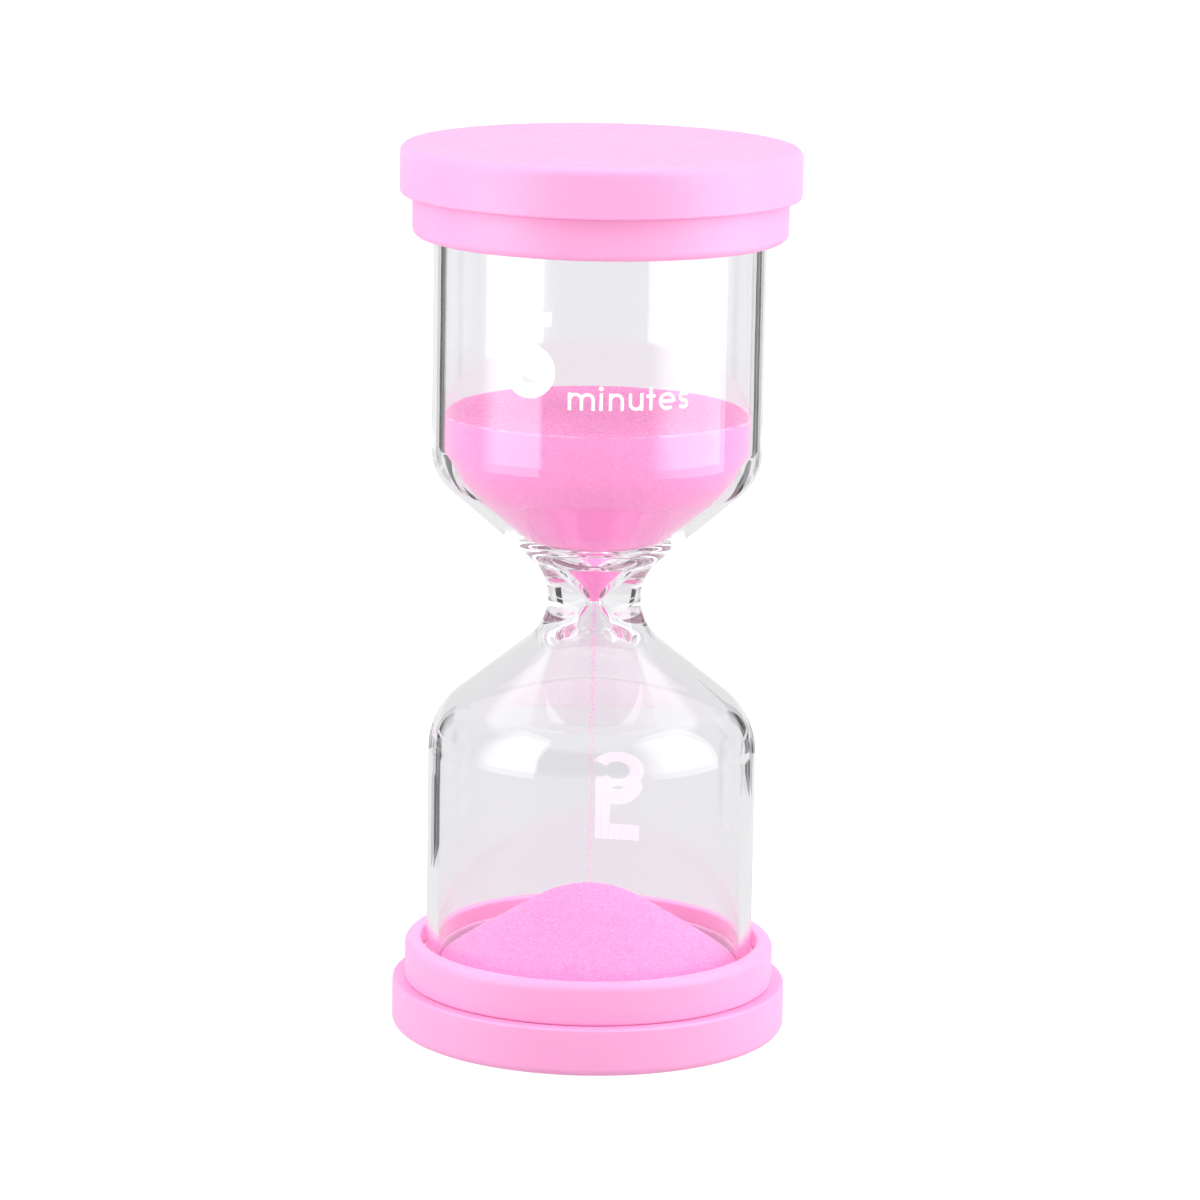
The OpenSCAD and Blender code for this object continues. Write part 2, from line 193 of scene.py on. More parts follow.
def bore(outer_shoulder, neck_curve, slope, flatter, lip_curve, bowl, reach, shrink):
    """Half section of the hollow of a chamber: throat, lip, cone, shoulder, cylinder and flat end.

    The cone leaves the outside's shoulder a wall away and is flatter, so the glass thickens to the neck.
    A bowl, if there is one, is an arc centred on the axis between the lip and the cone."""
    lean, steep = math.radians(slope - flatter), math.radians(THROAT_SLOPE)
    outer_end = cone_ends(GLASS_R, NECK_R, neck_curve, outer_shoulder, slope)[1]
    pitch = math.radians(slope)
    on_cone = Vector((outer_end[0] - WALL * math.sin(pitch), outer_end[1] + WALL * math.cos(pitch)))
    shoulder_r = GLASS_R - WALL - BORE_SHOULDER
    shoulder_z = (on_cone.y + math.tan(lean) * (shoulder_r - on_cone.x)) + BORE_SHOULDER / math.cos(lean)
    up, out = Vector((math.cos(lean), math.sin(lean))), Vector((math.sin(lean), -math.cos(lean)))
    along, aside = Vector((math.cos(steep), math.sin(steep))), Vector((math.sin(steep), -math.cos(steep)))
    start = Vector((ORIFICE_R + THROAT_CURVE * (1 - math.sin(steep)), THROAT_CURVE * math.cos(steep)))
    if bowl:
        centre = Vector((0, on_cone.y - math.tan(lean) * on_cone.x + bowl / math.cos(lean)))
        gap = start + aside * lip_curve - centre
        half = gap.dot(along)
        run = -half - math.sqrt(half ** 2 - gap.length_squared + (bowl + lip_curve) ** 2)
        lip = centre + gap + along * run
        turn = math.degrees(math.atan2(lip.y - centre.y, lip.x))
        beyond = arc(centre, bowl - shrink, turn, slope - flatter - 90, 16)[1:]
    else:
        gap = on_cone + out * lip_curve - start - aside * lip_curve
        run = (gap.x * up.y - gap.y * up.x) / (along.x * up.y - along.y * up.x)
        lip = start + aside * lip_curve + along * run
        turn = slope - flatter - 90
        beyond = []
    radius = GLASS_R - WALL - shrink
    corner = BORE_CORNER - shrink
    return (arc((ORIFICE_R + THROAT_CURVE, 0), THROAT_CURVE + shrink, 180, 90 + THROAT_SLOPE, 8)
            + line(start - aside * shrink, lip - aside * (lip_curve + shrink), 6)
            + arc(lip, lip_curve + shrink, 90 + THROAT_SLOPE, 180 + turn, 12) + beyond
            + arc((shoulder_r, shoulder_z), BORE_SHOULDER - shrink, slope - flatter - 90, 0, 20)
            + line((radius, shoulder_z), (radius, reach - BORE_CORNER), 14)
            + arc((radius - corner, reach - BORE_CORNER), corner, 0, 90, 8))


def upper_bore(shrink=0.0):
    points = bore(UPPER_SHOULDER, UPPER_NECK_CURVE, UPPER_SLOPE, UPPER_FLATTER, UPPER_LIP, BOWL,
                  GLASS_TOP - END_THICK - NECK_Z, shrink)
    return [(r, NECK_Z + z) for r, z in points]


def lower_bore(shrink=0.0):
    points = bore(LOWER_SHOULDER, LOWER_NECK_CURVE, LOWER_SLOPE, LOWER_FLATTER, LOWER_LIP, 0,
                  NECK_Z - GLASS_BOTTOM - END_THICK, shrink)
    return [(r, NECK_Z - z) for r, z in points]


def flipped(outline):
    """The same outline at the top end of the timer."""
    return [(r, TOTAL - z) for r, z in outline]


# ---- Meshes ----

def without_repeats(outline):
    """The outline without points that lie on the one before."""
    kept = [outline[0]]
    for point in outline[1:]:
        if math.dist(point, kept[-1]) > 1e-5:
            kept.append(point)
    return kept


def lathe(bm, outline, segments=SEGMENTS, ring=False):
    """Turns an outline of (r, z) about Z. A ring's outline closes on itself; any other ends on the axis."""
    outline = without_repeats(outline)
    rows = []
    for r, z in outline:
        if r < 1e-6:
            rows.append([bm.verts.new((0, 0, z))])
        else:
            turns = [2 * math.pi * i / segments for i in range(segments)]
            rows.append([bm.verts.new((r * math.cos(a), r * math.sin(a), z)) for a in turns])
    pairs = list(zip(rows, rows[1:])) + ([(rows[-1], rows[0])] if ring else [])
    for low, high in pairs:
        for i in range(segments):
            j = (i + 1) % segments
            corners = [low[i % len(low)], low[j % len(low)], high[j % len(high)], high[i % len(high)]]
            distinct = list(dict.fromkeys(corners))
            if len(distinct) > 2:
                bm.faces.new(distinct)


def build_mesh(bm, name, material, replaces):
    """Turns a bmesh in millimetres into a piece in metres that rides on the timer."""
    bmesh.ops.recalc_face_normals(bm, faces=bm.faces)
    bmesh.ops.scale(bm, vec=Vector((MM, MM, MM)), verts=bm.verts)
    mesh = bpy.data.meshes.new(name)
    bm.to_mesh(mesh)
    bm.free()
    mesh.polygons.foreach_set("use_smooth", [True] * len(mesh.polygons))
    mesh.materials.append(material)
    piece = bpy.data.objects.new(name, mesh)
    bpy.context.scene.collection.objects.link(piece)
    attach(piece, BODY)
    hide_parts(*replaces)
    return piece


# ---- Materials ----

class Look:
    """A Principled material and the few node moves that the looks below share."""

    def __init__(self, name, colour, roughness):
        self.material = bpy.data.materials.new(name)
        self.material.use_nodes = True
        self.tree = self.material.node_tree
        self.shader = self.tree.nodes["Principled BSDF"]
        self.shader.inputs["Base Color"].default_value = (*colour, 1)
        self.shader.inputs["Roughness"].default_value = roughness
        self.place = self.add("ShaderNodeTexCoord").outputs["Object"]

    def add(self, kind, **values):
        node = self.tree.nodes.new(kind)
        for key, value in values.items():
            setattr(node, key, value)
        return node

    def link(self, source, target):
        self.tree.links.new(source, target)

    def grain(self, size_mm, detail=3, roughness=0.5):
        """Noise whose features are about size_mm across."""
        node = self.add("ShaderNodeTexNoise")
        node.inputs["Scale"].default_value = 1 / (size_mm * MM)
        node.inputs["Detail"].default_value = detail
        node.inputs["Roughness"].default_value = roughness
        self.link(self.place, node.inputs["Vector"])
        return node.outputs["Fac"]

    def cells(self, size_mm):
        """Voronoi cells about size_mm across."""
        node = self.add("ShaderNodeTexVoronoi")
        node.inputs["Scale"].default_value = 1 / (size_mm * MM)
        self.link(self.place, node.inputs["Vector"])
        return node

    def ramp(self, factor, stops):
        """Colour ramp over (position, colour) stops."""
        node = self.add("ShaderNodeValToRGB")
        ramp = node.color_ramp
        while len(ramp.elements) < len(stops):
            ramp.elements.new(0.5)
        for element, (position, colour) in zip(ramp.elements, stops):
            element.position = position
            element.color = (*colour, 1)
        self.link(factor, node.inputs["Fac"])
        return node.outputs["Color"]

    def spread(self, factor, low, high):
        """Maps a factor around 0.5 to the range low to high."""
        node = self.add("ShaderNodeMapRange")
        node.inputs["From Min"].default_value = 0.3
        node.inputs["From Max"].default_value = 0.7
        node.inputs["To Min"].default_value = low
        node.inputs["To Max"].default_value = high
        self.link(factor, node.inputs["Value"])
        return node.outputs["Result"]

    def paint_rim_highlight(self, colour):
        """Fades a colour to a paler pink in a thin ring where the level sand meets the glass: a painted
        highlight.
        """
        split = self.add("ShaderNodeSeparateXYZ")
        self.link(self.place, split.inputs[0])
        flat = self.add("ShaderNodeCombineXYZ")
        self.link(split.outputs["X"], flat.inputs["X"])
        self.link(split.outputs["Y"], flat.inputs["Y"])
        radius = self.add("ShaderNodeVectorMath", operation="LENGTH")
        self.link(flat.outputs[0], radius.inputs[0])
        masks = []
        for value, low, high in ((radius.outputs["Value"], GLASS_R - WALL - 0.35, GLASS_R - WALL - 0.1),
                                 (split.outputs["Z"], SAND_LEVEL - 0.3, SAND_LEVEL - 0.12)):
            mask = self.add("ShaderNodeMapRange", interpolation_type="SMOOTHSTEP")
            mask.inputs["From Min"].default_value = low * MM
            mask.inputs["From Max"].default_value = high * MM
            self.link(value, mask.inputs["Value"])
            masks.append(mask.outputs["Result"])
        masks.append(self.ramp(self.grain(1.6, 3, 0.6), [(0.42, (0, 0, 0)), (0.66, (0.55, 0.55, 0.55))]))
        both = self.add("ShaderNodeMath", operation="MULTIPLY")
        self.link(masks[0], both.inputs[0])
        self.link(masks[1], both.inputs[1])
        patchy = self.add("ShaderNodeMath", operation="MULTIPLY")
        self.link(both.outputs[0], patchy.inputs[0])
        self.link(masks[2], patchy.inputs[1])
        mix = self.add("ShaderNodeMix", data_type="RGBA")
        start, end = (socket for socket in mix.inputs if socket.type == "RGBA")
        self.link(patchy.outputs[0], mix.inputs["Factor"])
        self.link(colour, start)
        # painted highlight on the top edge of the level sand against the glass
        end.default_value = PAINTED_RIM_HIGHLIGHT
        return next(socket for socket in mix.outputs if socket.type == "RGBA")

    def bump(self, height, distance_mm, strength=1.0, under=None):
        """Relief from a height, over the relief given as under."""
        node = self.add("ShaderNodeBump")
        node.inputs["Strength"].default_value = strength
        node.inputs["Distance"].default_value = distance_mm * MM
        self.link(height, node.inputs["Height"])
        if under is not None:
            self.link(under, node.inputs["Normal"])
        self.link(node.outputs["Normal"], self.shader.inputs["Normal"])
        return node.outputs["Normal"]


def cap_plastic():
    """Pastel pink moulded plastic, satin, with a fine spark-eroded texture."""
    look = Look("cap_plastic", (0.94, 0.385, 0.67), 0.4)
    tint = look.ramp(look.grain(9), [(0.3, (0.93, 0.375, 0.66)), (0.7, (0.95, 0.395, 0.68))])
    look.link(tint, look.shader.inputs["Base Color"])
    look.link(look.spread(look.grain(1.4, 4), 0.34, 0.46), look.shader.inputs["Roughness"])
    wave = look.bump(look.grain(14, 1), 0.02)
    look.bump(look.grain(0.16, 2), 0.006, under=wave)
    look.shader.inputs["Subsurface Weight"].default_value = 0.15
    look.shader.inputs["Subsurface Radius"].default_value = (0.0012, 0.0006, 0.0009)
    look.shader.inputs["Subsurface Scale"].default_value = 1.0
    return look.material


def clear_glass():
    """Clear lamp-blown glass with a faint waviness and a trace of handling haze."""
    look = Look("clear_glass", (0.965, 0.96, 0.98), 0.0)
    look.shader.inputs["Transmission Weight"].default_value = 1.0
    look.shader.inputs["IOR"].default_value = 1.5
    look.link(look.spread(look.grain(4, 3), 0.0, 0.012), look.shader.inputs["Roughness"])
    look.bump(look.grain(7, 1), 0.01)
    return look.material


def pink_sand(name, painted_lift):
    """Dyed sand: every grain its own shade of pink. The copy made paler by the last argument is a painted
    highlight, for the grains on the free surfaces.
    """
    look = Look(name, (0.96, 0.28 + painted_lift, 0.60 + painted_lift), 0.85)
    cells = look.cells(0.2)
    shade = look.ramp(cells.outputs["Color"], [
        (0.0, (0.93, 0.25 + painted_lift, 0.57 + painted_lift)), (0.4, (0.95, 0.28 + painted_lift, 0.60 + painted_lift)),
        (0.8, (0.96, 0.30 + painted_lift, 0.63 + painted_lift)), (1.0, (0.98, 0.37 + painted_lift, 0.69 + painted_lift))])
    look.link(look.spread(look.grain(0.5, 2), 0.7, 0.95), look.shader.inputs["Roughness"])
    # the base colour carries a painted highlight ring at the top edge of the level sand
    look.link(look.paint_rim_highlight(shade), look.shader.inputs["Base Color"])
    look.shader.inputs["Specular IOR Level"].default_value = 0.2
    look.bump(cells.outputs["Distance"], -0.04, 0.5)
    return look.material


def white_ink():
    """Opaque white screen ink, slightly uneven, tinted faintly green against pink bounce light, with a
    painted glow.
    """
    look = Look("white_ink", (0.93, 0.97, 0.94), 0.45)
    # faint green tint stands in for cancelling the pink light bounced onto the ink
    tint = look.ramp(look.grain(0.5, 4), [(0.3, (0.88, 0.94, 0.90)), (0.7, (0.93, 0.98, 0.94))])
    look.link(tint, look.shader.inputs["Base Color"])
    look.link(look.spread(look.grain(0.3, 2), 0.38, 0.55), look.shader.inputs["Roughness"])
    look.bump(look.grain(0.15, 2), 0.01, 0.5)
    # painted glow: the ink glows a little though it is no lamp
    look.shader.inputs["Emission Color"].default_value = (1, 1, 1, 1)
    look.shader.inputs["Emission Strength"].default_value = 0.1
    return look.material


def pad_foam():
    """White closed-cell foam, with painted shade in the pressed-in cell edges."""
    look = Look("pad_foam", (0.86, 0.86, 0.84), 0.9)
    cells = look.cells(0.35)
    # painted shade: darker towards the cell edges, which the bump presses in
    tint = look.ramp(cells.outputs["Distance"], [(0.0, (0.88, 0.88, 0.86)), (0.8, (0.74, 0.74, 0.72))])
    look.link(tint, look.shader.inputs["Base Color"])
    look.link(look.spread(look.grain(2), 0.82, 0.97), look.shader.inputs["Roughness"])
    look.bump(cells.outputs["Distance"], -0.08, 0.8)
    return look.material


def clear_glue():
    """Clear flexible glue, made opaque with the pink of the collar seen through it painted into its colour,
    with tiny bubbles.
    """
    # painted see-through: the collar's pink behind the glue is painted into the base colour
    look = Look("clear_glue", (0.93, 0.50, 0.74), 0.3)
    tint = look.ramp(look.cells(0.6).outputs["Distance"],
                     [(0.05, (0.96, 0.66, 0.83)), (0.3, (0.92, 0.48, 0.73))])
    look.link(tint, look.shader.inputs["Base Color"])
    look.link(look.spread(look.grain(1.5), 0.22, 0.4), look.shader.inputs["Roughness"])
    look.bump(look.grain(1.2, 2), 0.05, 0.6)
    look.shader.inputs["Subsurface Weight"].default_value = 0.4
    look.shader.inputs["Subsurface Radius"].default_value = (0.001, 0.0007, 0.0009)
    look.shader.inputs["Subsurface Scale"].default_value = 1.0
    return look.material


def soft_stopper():
    """Pale grey silicone rubber."""
    look = Look("soft_stopper", (0.68, 0.68, 0.67), 0.6)
    tint = look.ramp(look.grain(2, 3), [(0.3, (0.64, 0.64, 0.63)), (0.7, (0.72, 0.72, 0.71))])
    look.link(tint, look.shader.inputs["Base Color"])
    look.link(look.spread(look.grain(0.8), 0.5, 0.7), look.shader.inputs["Roughness"])
    look.bump(look.grain(0.2, 2), 0.01, 0.6)
    return look.material


def pale_floor():
    """White light table, glowing a little less near the timer as painted shade, and seen pure white
    directly.
    """
    look = Look("pale_floor", (0.2, 0.2, 0.2), 0.7)
    tint = look.ramp(look.grain(400, 1), [(0.3, (0.19, 0.19, 0.19)), (0.7, (0.21, 0.21, 0.21))])
    look.link(tint, look.shader.inputs["Base Color"])
    look.shader.inputs["Specular IOR Level"].default_value = 0.1
    look.shader.inputs["Emission Color"].default_value = (1, 1, 1, 1)
    away = look.add("ShaderNodeVectorMath", operation="LENGTH")
    look.link(look.place, away.inputs[0])
    # painted shade: the glow drops towards the timer
    glow = look.add("ShaderNodeMapRange", interpolation_type="SMOOTHSTEP")
    glow.inputs["From Min"].default_value = GLOW_START
    glow.inputs["From Max"].default_value = GLOW_END
    glow.inputs["To Min"].default_value = GLOW_NEAR
    glow.inputs["To Max"].default_value = GLOW_FAR
    look.link(away.outputs["Value"], glow.inputs["Value"])
    direct = look.add("ShaderNodeMix")
    look.link(look.add("ShaderNodeLightPath").outputs["Is Camera Ray"], direct.inputs["Factor"])
    look.link(glow.outputs["Result"], direct.inputs["A"])
    direct.inputs["B"].default_value = 1.0
    look.link(direct.outputs["Result"], look.shader.inputs["Emission Strength"])
    return look.material


def dark_card():
    """Matt black card."""
    look = Look("dark_card", (0.012, 0.008, 0.012), 0.9)
    look.link(look.spread(look.grain(3), 0.85, 0.95), look.shader.inputs["Roughness"])
    return look.material


def glowing_cloth(name, wide):
    """White cloth front of a softbox, glowing evenly and fading over the last part of its width."""
    look = Look(name, (0.8, 0.8, 0.8), 0.9)
    split = look.add("ShaderNodeSeparateXYZ")
    look.link(look.place, split.inputs[0])
    fade = look.add("ShaderNodeMapRange", interpolation_type="SMOOTHSTEP")
    fade.inputs["From Min"].default_value = wide * (0.5 - SOFTBOX_FADE)
    fade.inputs["From Max"].default_value = wide * 0.5
    fade.inputs["To Min"].default_value = SOFTBOX
    fade.inputs["To Max"].default_value = 0
    look.link(split.outputs["X"], fade.inputs["Value"])
    look.shader.inputs["Emission Color"].default_value = (1, 1, 1, 1)
    look.link(fade.outputs["Result"], look.shader.inputs["Emission Strength"])
    look.link(look.spread(look.grain(8), 0.85, 0.95), look.shader.inputs["Roughness"])
    return look.material


LOOKS = {
    "cap_plastic": cap_plastic(),
    "glass": clear_glass(),
    "sand": pink_sand("packed_sand", 0.0),
    # the same sand painted paler: a painted highlight on the free surfaces
    "sand_painted_lighter": pink_sand("sand_painted_lighter", 0.16),
    "white_ink": white_ink(),
    "pad_foam": pad_foam(),
    "clear_glue": clear_glue(),
    "stopper": soft_stopper(),
}


# ---- Caps ----

def cover_outline():
    bore = COVER_R - COVER_WALL
    return ([(0, 0)] + line((1, 0), (COVER_R - EDGE, 0), 10)
            + arc((COVER_R - EDGE, EDGE), EDGE, -90, 0, 12)
            + line((COVER_R, EDGE), (COVER_R, COVER_H - JOINT_EDGE), 3)
            + arc((COVER_R - JOINT_EDGE, COVER_H - JOINT_EDGE), JOINT_EDGE, 0, 90, 6)
            + line((COVER_R - JOINT_EDGE, COVER_H), (bore, COVER_H))
            + line((bore, COVER_H), (bore, COVER_FLOOR))
            + line((bore, COVER_FLOOR), (1, COVER_FLOOR), 6) + [(0, COVER_FLOOR)])


def rib_ring_outline():
    outer = RIB_RING + RIB_THICK
    return (line((RIB_RING, RIB_ROOT), (outer, RIB_ROOT)) + line((outer, RIB_ROOT), (outer, PAD_LOW))
            + line((outer, PAD_LOW), (RIB_RING, PAD_LOW))
            + line((RIB_RING, PAD_LOW), (RIB_RING, RIB_ROOT)))[:-1]


def add_spokes(bm, flip):
    """Straight ribs between the rib ring and the rim of the pad."""
    start, end = RIB_RING + RIB_THICK / 2, PAD_R
    middle_z = (RIB_ROOT + PAD_LOW) / 2
    size = Vector((end - start, RIB_THICK, PAD_LOW - RIB_ROOT))
    for i in range(RIBS):
        spoke = bmesh.ops.create_cube(bm, size=1)["verts"]
        bmesh.ops.scale(bm, vec=size, verts=spoke)
        bmesh.ops.translate(bm, vec=Vector(((start + end) / 2, 0, middle_z)), verts=spoke)
        bmesh.ops.rotate(bm, matrix=Matrix.Rotation(2 * math.pi * i / RIBS, 3, "Z"), verts=spoke)
        if flip:
            for v in spoke:
                v.co.z = TOTAL - v.co.z


def collar_outline():
    return (line((COLLAR_BORE, SKIRT_BOTTOM), (SKIRT_R, SKIRT_BOTTOM))
            + line((SKIRT_R, SKIRT_BOTTOM), (SKIRT_R, COVER_H))
            + line((SKIRT_R, COVER_H), (COLLAR_R - JOINT_EDGE, COVER_H))
            + arc((COLLAR_R - JOINT_EDGE, COVER_H + JOINT_EDGE), JOINT_EDGE, -90, 0, 6)
            + line((COLLAR_R, COVER_H + JOINT_EDGE), (COLLAR_R, COLLAR_TOP - EDGE), 3)
            + arc((COLLAR_R - EDGE, COLLAR_TOP - EDGE), EDGE, 0, 90, 12)
            + arc((COLLAR_BORE + JOINT_EDGE, COLLAR_TOP - JOINT_EDGE), JOINT_EDGE, 90, 180, 6)
            + line((COLLAR_BORE, COLLAR_TOP - JOINT_EDGE), (COLLAR_BORE, SKIRT_BOTTOM), 4))[:-1]


def make_cap(end, place, flip):
    """A cover with its ribs, and the collar that snaps into it."""
    bm = bmesh.new()
    lathe(bm, place(cover_outline()))
    lathe(bm, place(rib_ring_outline()), ring=True)
    add_spokes(bm, flip)
    build_mesh(bm, end + "_cover_shell", LOOKS["cap_plastic"], [end + "_cover"])
    bm = bmesh.new()
    lathe(bm, place(collar_outline()), ring=True)
    build_mesh(bm, end + "_collar_ring", LOOKS["cap_plastic"], [end + "_collar"])


make_cap("bottom", lambda outline: outline, False)
make_cap("top", flipped, True)


# ---- Glass ----

def glass_outline():
    """One closed line: up the outside, round the edge of the filling hole and down the two bores."""
    flat_r, bore_flat_r, hole_r = GLASS_R - END_CORNER, GLASS_R - WALL - BORE_CORNER, HOLE_R + HOLE_EDGE
    ceiling, floor = GLASS_TOP - END_THICK, GLASS_BOTTOM + END_THICK
    return ([(0, GLASS_BOTTOM)] + line((1, GLASS_BOTTOM), (flat_r, GLASS_BOTTOM), 4)
            + lower_outside()[::-1] + upper_outside()
            + line((flat_r, GLASS_TOP), (hole_r, GLASS_TOP), 4)
            + arc((hole_r, GLASS_TOP - HOLE_EDGE), HOLE_EDGE, 90, 180, 4)
            + arc((hole_r, ceiling + HOLE_EDGE), HOLE_EDGE, 180, 270, 4)
            + line((hole_r, ceiling), (bore_flat_r, ceiling), 4)
            + upper_bore()[::-1] + lower_bore()
            + line((bore_flat_r, floor), (1, floor), 4)
            + [(0, floor)])


def make_glass():
    """The bulb. It casts no shadow, as the light that reaches the sand and the caps goes through it."""
    bm = bmesh.new()
    lathe(bm, glass_outline())
    glass = build_mesh(bm, "glass_body", LOOKS["glass"], ["glass_bulb"])
    glass.visible_shadow = False
    glass.visible_diffuse = False


make_glass()


# ---- Sand ----

def ruffle(bm, size_mm, depth_mm, seed):
    """Presses a sand surface in a little here and there, as loose grains lie, and never outwards."""
    bm.normal_update()
    shift = Vector((seed, 2 * seed, 3 * seed))
    moves = []
    for v in bm.verts:
        swell = noise.noise(v.co / size_mm + shift) + 0.5 * noise.noise(2.3 * v.co / size_mm - shift)
        moves.append(-v.normal * depth_mm * min(1, max(0, 0.5 + 0.6 * swell)))
    for v, move in zip(bm.verts, moves):
        v.co += move


def upper_sand_outline():
    sides = [(r, z) for r, z in upper_bore(SAND_GAP) if z < SAND_LEVEL - 0.3]
    edge = (GLASS_R - WALL - SAND_GAP, SAND_LEVEL - 0.15)
    return ([(0, NECK_Z)] + sides + [edge] + line((edge[0] - 0.15, SAND_LEVEL), (0.5, SAND_LEVEL), 60)
            + [(0, SAND_LEVEL)])


def lower_sand_outline():
    crown_z = HEAP_TOP - CROWN
    lean = math.radians(REPOSE)
    foot_r = GLASS_R - WALL - SAND_GAP
    crown_edge = (CROWN * math.sin(lean), crown_z + CROWN * math.cos(lean))
    foot_z = crown_edge[1] - (foot_r - crown_edge[0]) * math.tan(lean)
    floor_z = GLASS_BOTTOM + END_THICK + 0.02
    return ([(0, floor_z)] + line((1, floor_z), (foot_r - 0.6, floor_z), 4)
            + [(foot_r - 0.1, foot_z - 0.1)]
            + line((foot_r, foot_z), crown_edge, 50)
            + arc((0, crown_z), CROWN, 90 - REPOSE, 90, 16))


def make_body_of_sand(name, outline, seed, replaces):
    bm = bmesh.new()
    lathe(bm, outline)
    bmesh.ops.recalc_face_normals(bm, faces=bm.faces)
    ruffle(bm, 1.2, 0.07, seed)
    build_mesh(bm, name, LOOKS["sand"], replaces)


def make_grains(name, places, seed, replaces=()):
    """Loose grains, each an uneven eight-sided crystal, one at each (place, size) in millimetres."""
    rng = random.Random(seed)
    corners = [Vector(c) for c in ((1, 0, 0), (0, 1, 0), (-1, 0, 0), (0, -1, 0), (0, 0, 1), (0, 0, -1))]
    vertices, faces = [], []
    for place, size in places:
        turn = Matrix.Rotation(rng.uniform(0, math.tau), 3, Vector((rng.gauss(0, 1), rng.gauss(0, 1), 1)))
        first = len(vertices)
        for corner in corners:
            vertices.append((turn @ corner * size / 2 * rng.uniform(0.7, 1.15) + place) * MM)
        for a in range(4):
            b = (a + 1) % 4
            faces.append((first + a, first + b, first + 4))
            faces.append((first + b, first + a, first + 5))
    mesh = bpy.data.meshes.new(name)
    mesh.from_pydata(vertices, [], faces)
    # the grains take the paler copy of the sand: a painted highlight
    mesh.materials.append(LOOKS["sand_painted_lighter"])
    piece = bpy.data.objects.new(name, mesh)
    bpy.context.scene.collection.objects.link(piece)
    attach(piece, BODY)
    if replaces:
        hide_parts(*replaces)


def scattered(count, reach, height, seed):
    """Places of grains spread evenly over a round surface whose height is a function of the radius."""
    rng = random.Random(seed)
    places = []
    for _ in range(count):
        r, turn = reach * math.sqrt(rng.random()), rng.uniform(0, math.tau)
        size = rng.uniform(0.16, 0.27)
        place = Vector((r * math.cos(turn), r * math.sin(turn), height(r) + rng.uniform(-0.1, -0.02)))
        places.append((place, size))
    return places


def heap_height(r):
    """Height of the heap's surface: a rounded crown on a cone at the angle of repose."""
    lean = math.radians(REPOSE)
    edge_r = CROWN * math.sin(lean)
    if r < edge_r:
        return HEAP_TOP - CROWN + math.sqrt(CROWN ** 2 - r ** 2)
    return HEAP_TOP - CROWN + CROWN * math.cos(lean) - (r - edge_r) * math.tan(lean)


def falling():
    """Places of the grains in the stream, which thins out as it speeds up."""
    rng = random.Random(5)
    places = []
    z = NECK_Z - 0.3
    while z > HEAP_TOP + 0.1:
        spread = 0.3 + 0.12 * rng.random()
        place = Vector((rng.gauss(0, spread / 2), rng.gauss(0, spread / 2), z))
        places.append((place, rng.uniform(0.13, 0.2)))
        z -= 0.03 + 0.07 * math.sqrt((NECK_Z - z) / (NECK_Z - HEAP_TOP))
    return places


make_body_of_sand("sand_charge", upper_sand_outline(), 3.1, ["sand_upper"])
make_body_of_sand("sand_heap", lower_sand_outline(), 7.7, ["sand_lower"])
make_grains("charge_grains", scattered(GRAINS, GRAIN_REACH, lambda r: SAND_LEVEL, 11), 21)
make_grains("heap_grains", scattered(GRAINS, GRAIN_REACH, heap_height, 12), 22)
make_grains("falling_grains", falling(), 23, ["sand_stream"])


# ---- Soft and hidden pieces ----

def wobble(bm, size_mm, depth_mm, seed):
    """Slight unevenness of soft and poured pieces, inwards only."""
    bmesh.ops.recalc_face_normals(bm, faces=bm.faces)
    bm.normal_update()
    shift = Vector((seed, -seed, 2 * seed))
    moves = [-v.normal * depth_mm * (0.5 + 0.5 * noise.noise(v.co / size_mm + shift)) for v in bm.verts]
    for v, move in zip(bm.verts, moves):
        v.co += move


def rounded_ring(r0, r1, z0, z1, edge):
    """Outline of a ring with all four edges rounded."""
    return (line((r0 + edge, z0), (r1 - edge, z0), 5)
            + arc((r1 - edge, z0 + edge), edge, -90, 0, 5)
            + arc((r1 - edge, z1 - edge), edge, 0, 90, 5)
            + line((r1 - edge, z1), (r0 + edge, z1), 5)
            + arc((r0 + edge, z1 - edge), edge, 90, 180, 5)
            + arc((r0 + edge, z0 + edge), edge, 180, 270, 5))[:-1]


def make_turned(name, outline, ring, look, node, size_mm, depth_mm, seed):
    """A round piece with slightly uneven surfaces, in place of one CAD node."""
    bm = bmesh.new()
    lathe(bm, outline, 128, ring)
    wobble(bm, size_mm, depth_mm, seed)
    return build_mesh(bm, name, LOOKS[look], [node])


def disc_outline(radius, z0, z1, edge):
    return ([(0, z0)] + line((1, z0), (radius - edge, z0), 6)
            + arc((radius - edge, z0 + edge), edge, -90, 0, 5)
            + arc((radius - edge, z1 - edge), edge, 0, 90, 5)
            + line((radius - edge, z1), (1, z1), 6) + [(0, z1)])


